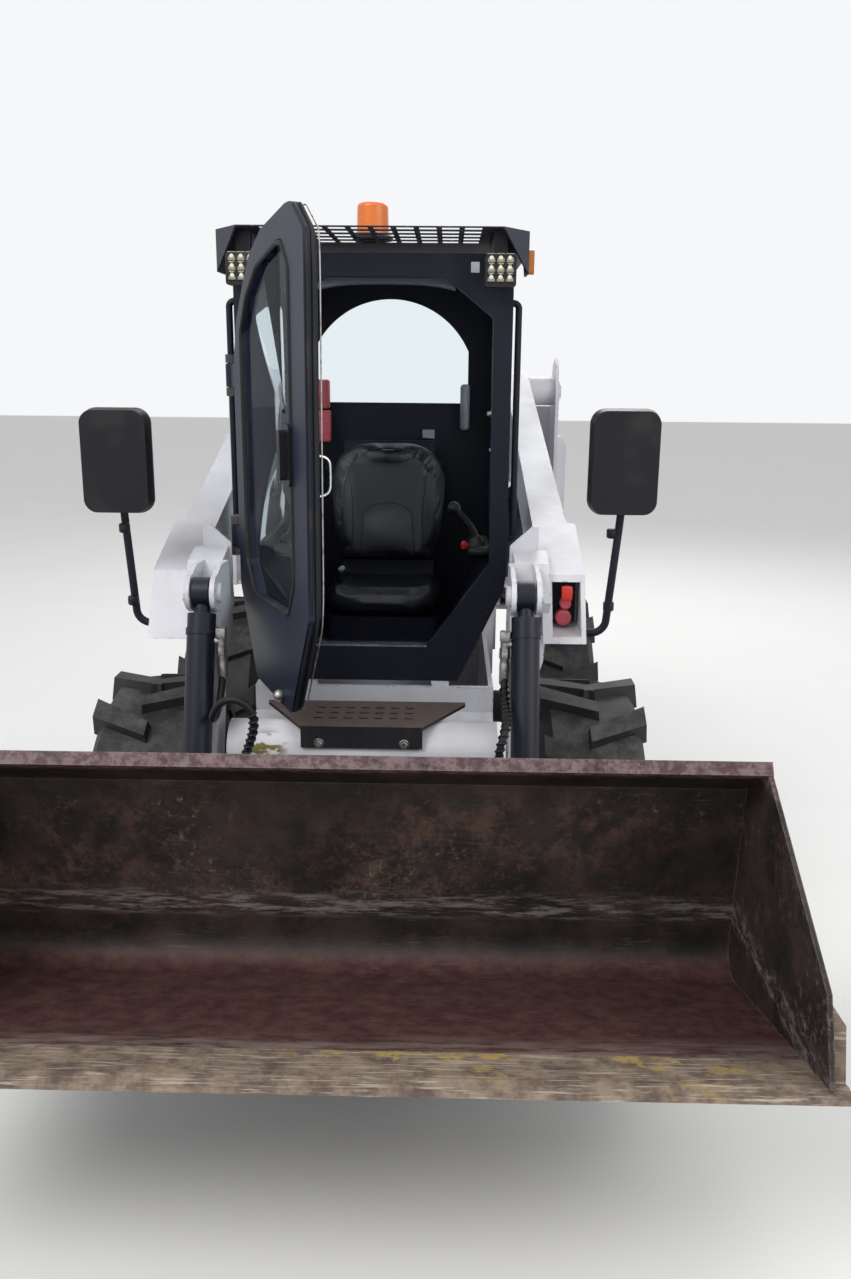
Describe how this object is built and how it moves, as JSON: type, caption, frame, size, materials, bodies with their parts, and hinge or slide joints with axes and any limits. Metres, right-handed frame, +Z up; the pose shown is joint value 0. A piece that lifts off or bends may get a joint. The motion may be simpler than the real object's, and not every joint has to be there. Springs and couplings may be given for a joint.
{
  "type": "skid-steer loader",
  "caption": "Compact skid-steer loader with a closed cab, an open front door, sloping lift arms, a wide low dirt bucket and chunky bar-lug tyres.",
  "frame": {"origin": "on the ground under the middle of the machine's length and width", "axes": "+Z up; -Y is the front, where the bucket is; +X is the machine's left side"},
  "size_m": [1.85, 3.154, 2.1423],
  "materials": {
    "white_paint": "semi-gloss, chipped and dusty",
    "black_paint": "satin, dusty",
    "dark_steel": "matt, dusty",
    "bucket_paint": "worn to rust and mud",
    "worn_edge": "scraped steel with paint remnants",
    "rod_chrome": "polished",
    "tyre_rubber": "matt, muddy tread",
    "rim_paint": "satin, dusty",
    "window_glass": "clear, slightly dusty",
    "seat_vinyl": "satin vinyl",
    "black_plastic": "matt",
    "lamp_lens": "clear lens",
    "orange_lens": "clear orange",
    "red_lens": "clear red",
    "hose_rubber": "matt, with a coiled guard",
    "fitting_steel": "plated",
    "red_plastic": "soft, faded",
    "engine_iron": "painted casting"
  },
  "bodies": {
    "chassis": {"mainframe": "white_paint", "step_bar": "white_paint", "step": "black_paint", "axle_housings": "dark_steel", "tower_left": "white_paint", "tower_right": "white_paint", "engine": "engine_iron", "tail_lamps": "red_lens"},
    "hood": {"hood_grille": "black_paint"},
    "tailgate": {"tailgate": "black_paint"},
    "cab": {"cab_frame": "black_paint", "rear_window": "window_glass", "side_windows": "window_glass", "visor": "black_paint", "work_lamps": "lamp_lens", "beacon": "orange_lens", "marker_lamp": "orange_lens", "cab_rails": "black_paint", "seat_base": "black_paint", "seat_cushion": "seat_vinyl", "seat_back": "seat_vinyl", "control_levers": "black_plastic", "door_hinges": "dark_steel"},
    "door": {"door_frame": "black_paint", "door_glass": "window_glass", "door_handle": "black_plastic"},
    "lift_arms": {"lift_arm_left": "white_paint", "lift_arm_right": "white_paint", "torque_tube": "white_paint", "coupler_block": "black_paint", "coupler_caps": "red_plastic", "mirror_stalks": "black_paint", "mirror_heads": "black_plastic", "hose_fittings": "fitting_steel", "hose_left": "hose_rubber", "hose_right": "hose_rubber", "tilt_barrel_left": "black_paint", "tilt_barrel_right": "black_paint"},
    "bucket_set": {"quick_coupler": "dark_steel", "bucket": "bucket_paint", "cutting_edge": "worn_edge"},
    "wheel_front_left": {"tyre_front_left": "tyre_rubber", "rim_front_left": "rim_paint"},
    "wheel_rear_left": {"tyre_rear_left": "tyre_rubber", "rim_rear_left": "rim_paint"},
    "lift_cylinder_left": {"lift_barrel_left": "black_paint"},
    "lift_piston_left": {"lift_rod_left": "rod_chrome"},
    "tilt_piston_left": {"tilt_rod_left": "rod_chrome"},
    "wheel_front_right": {"tyre_front_right": "tyre_rubber", "rim_front_right": "rim_paint"},
    "wheel_rear_right": {"tyre_rear_right": "tyre_rubber", "rim_rear_right": "rim_paint"},
    "lift_cylinder_right": {"lift_barrel_right": "black_paint"},
    "lift_piston_right": {"lift_rod_right": "rod_chrome"},
    "tilt_piston_right": {"tilt_rod_right": "rod_chrome"}
  },
  "joints": [
    {"name": "wheel_front_left_spin", "type": "hinge", "parent": "chassis", "child": "wheel_front_left", "pos_m": [0.607, -0.25502, 0.412], "axis": [-1, 0, 0], "continuous": true},
    {"name": "wheel_rear_left_spin", "type": "hinge", "parent": "chassis", "child": "wheel_rear_left", "pos_m": [0.607, 0.81698, 0.412], "axis": [-1, 0, 0], "continuous": true},
    {"name": "wheel_front_right_spin", "type": "hinge", "parent": "chassis", "child": "wheel_front_right", "pos_m": [-0.607, -0.25502, 0.412], "axis": [-1, 0, 0], "continuous": true},
    {"name": "wheel_rear_right_spin", "type": "hinge", "parent": "chassis", "child": "wheel_rear_right", "pos_m": [-0.607, 0.81698, 0.412], "axis": [-1, 0, 0], "continuous": true},
    {"name": "lift", "type": "hinge", "parent": "chassis", "child": "lift_arms", "pos_m": [0, 0.96698, 1.605], "axis": [-1, 0, 0], "range_deg": [-8, 70]},
    {"name": "bucket_tilt", "type": "hinge", "parent": "lift_arms", "child": "bucket_set", "pos_m": [0, -0.78302, 0.34], "axis": [1, 0, 0], "range_deg": [-12, 125]},
    {"name": "lift_cylinder_left_swing", "type": "hinge", "parent": "chassis", "child": "lift_cylinder_left", "pos_m": [0.46, 1.31698, 0.74], "axis": [-1, 0, 0], "range_deg": [-3, 15]},
    {"name": "lift_piston_left_slide", "type": "slide", "parent": "lift_cylinder_left", "child": "lift_piston_left", "axis": [0, -0.7494, 0.6621], "range_m": [-0.06, 0.41]},
    {"name": "tilt_piston_left_slide", "type": "slide", "parent": "lift_arms", "child": "tilt_piston_left", "axis": [0, -0.3422, -0.9396], "range_m": [-0.04, 0.35]},
    {"name": "lift_cylinder_right_swing", "type": "hinge", "parent": "chassis", "child": "lift_cylinder_right", "pos_m": [-0.46, 1.31698, 0.74], "axis": [-1, 0, 0], "range_deg": [-3, 15]},
    {"name": "lift_piston_right_slide", "type": "slide", "parent": "lift_cylinder_right", "child": "lift_piston_right", "axis": [0, -0.7494, 0.6621], "range_m": [-0.06, 0.41]},
    {"name": "tilt_piston_right_slide", "type": "slide", "parent": "lift_arms", "child": "tilt_piston_right", "axis": [0, -0.3422, -0.9396], "range_m": [-0.04, 0.35]},
    {"name": "cab_tilt", "type": "hinge", "parent": "chassis", "child": "cab", "pos_m": [0, 0.73098, 1.106], "axis": [-1, 0, 0], "range_deg": [0, 40]},
    {"name": "door_swing", "type": "hinge", "parent": "cab", "child": "door", "pos_m": [-0.38, -0.24502, 1.45], "axis": [0, 0, 1], "range_deg": [-5, 66.5]},
    {"name": "hood_lift", "type": "hinge", "parent": "chassis", "child": "hood", "pos_m": [0, 0.78298, 1.06], "axis": [-1, 0, 0], "range_deg": [-55, 0]},
    {"name": "tailgate_swing", "type": "hinge", "parent": "chassis", "child": "tailgate", "pos_m": [-0.318, 1.57698, 0.69], "axis": [0, 0, 1], "range_deg": [0, 95]}
  ],
  "couplings": [
    {"joint": "lift_cylinder_left_swing", "follows": "lift", "ratio": 0.19},
    {"joint": "lift_piston_left_slide", "follows": "lift", "m_per_rad": 0.325},
    {"joint": "tilt_piston_left_slide", "follows": "bucket_tilt", "m_per_rad": 0.1545},
    {"joint": "lift_cylinder_right_swing", "follows": "lift", "ratio": 0.19},
    {"joint": "lift_piston_right_slide", "follows": "lift", "m_per_rad": 0.325},
    {"joint": "tilt_piston_right_slide", "follows": "bucket_tilt", "m_per_rad": 0.1545}
  ]
}
